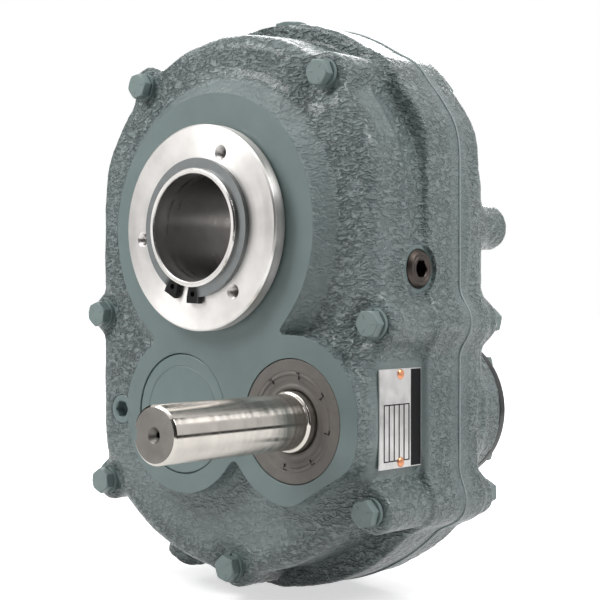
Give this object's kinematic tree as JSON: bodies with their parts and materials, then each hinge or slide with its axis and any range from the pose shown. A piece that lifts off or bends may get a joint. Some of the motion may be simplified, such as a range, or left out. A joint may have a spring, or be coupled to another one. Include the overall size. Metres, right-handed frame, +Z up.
{
  "type": "shaft mount reducer",
  "caption": "Shaft mount gear reducer: bolted cast casing with a hollow output hub, a solid keyed input shaft on the front and two reduction stages of gears inside.",
  "frame": {"origin": "on the hollow output hub's axis, half way along the hub", "axes": "+X across the casing towards the input shaft's side, +Y along the hub from the input shaft face to the back, +Z up the casing from the input shaft towards the hub"},
  "size_m": [0.2499, 0.263, 0.3523],
  "materials": {
    "casing_paint": "grey-green enamel over rough cast iron",
    "cap_paint": "grey-green enamel over smooth steel",
    "painted_fastener": "grey-green enamel over bolt heads",
    "gasket": "painted gasket edge",
    "shim_steel": "ground",
    "seal_rubber": "moulded nitrile rubber",
    "dark_steel": "dark oiled steel",
    "black_plug": "black",
    "plate_aluminium": "printed nameplate, bare of words",
    "copper_rivet": "copper drive rivet",
    "turned_steel": "turned and ground",
    "spring_steel": "blackened spring steel",
    "gear_steel": "hobbed and ground",
    "bearing_steel": "ground bearing steel"
  },
  "bodies": {
    "housing": {"front_housing": "casing_paint", "rear_housing": "casing_paint", "housing_gasket": "gasket", "dowel_pins": "gear_steel", "housing_bolts": "painted_fastener", "housing_lock_washers": "painted_fastener", "housing_nuts": "painted_fastener", "front_hub_bearing_cup": "bearing_steel", "rear_hub_bearing_cup": "bearing_steel", "front_counter_bearing_cup": "bearing_steel", "rear_counter_bearing_cup": "bearing_steel", "front_input_bearing_cup": "bearing_steel", "rear_input_bearing_cup": "bearing_steel", "front_hub_seal": "seal_rubber", "rear_hub_seal": "seal_rubber", "input_seal": "seal_rubber", "countershaft_cap": "cap_paint", "countershaft_shims": "shim_steel", "backstop_gasket": "gasket", "backstop_cover": "cap_paint", "backstop_screws": "painted_fastener", "side_plug": "dark_steel", "level_plug": "cap_paint", "drain_plug": "black_plug", "breather_plug": "painted_fastener", "nameplate": "plate_aluminium", "nameplate_rivets": "copper_rivet"},
    "output_rotor": {"output_hub": "turned_steel", "output_gear": "gear_steel", "output_gear_key": "gear_steel", "output_gear_spacer": "gear_steel", "front_hub_bearing_cone": "bearing_steel", "front_hub_bearing_rollers": "bearing_steel", "rear_hub_bearing_cone": "bearing_steel", "rear_hub_bearing_rollers": "bearing_steel", "front_backing_plate": "turned_steel", "rear_backing_plate": "turned_steel", "front_retaining_ring": "spring_steel", "rear_retaining_ring": "spring_steel"},
    "counter_rotor": {"countershaft": "gear_steel", "first_gear": "gear_steel", "first_gear_key": "gear_steel", "first_gear_spacer": "gear_steel", "front_counter_bearing_cone": "bearing_steel", "front_counter_bearing_rollers": "bearing_steel", "rear_counter_bearing_cone": "bearing_steel", "rear_counter_bearing_rollers": "bearing_steel"},
    "input_rotor": {"input_shaft": "turned_steel", "front_input_bearing_cone": "bearing_steel", "front_input_bearing_rollers": "bearing_steel", "rear_input_bearing_cone": "bearing_steel", "rear_input_bearing_rollers": "bearing_steel"}
  },
  "joints": [
    {"name": "output_spin", "type": "hinge", "parent": "housing", "child": "output_rotor", "pos_m": [0, 0, 0], "axis": [0, 1, 0], "continuous": true},
    {"name": "counter_spin", "type": "hinge", "parent": "housing", "child": "counter_rotor", "pos_m": [-0.0236, 0, -0.11127], "axis": [0, 1, 0], "continuous": true},
    {"name": "input_spin", "type": "hinge", "parent": "housing", "child": "input_rotor", "pos_m": [0.0639, 0, -0.11127], "axis": [0, 1, 0], "continuous": true}
  ],
  "couplings": [
    {"joint": "counter_spin", "follows": "output_spin", "ratio": -4.0556},
    {"joint": "input_spin", "follows": "output_spin", "ratio": 14.87}
  ]
}
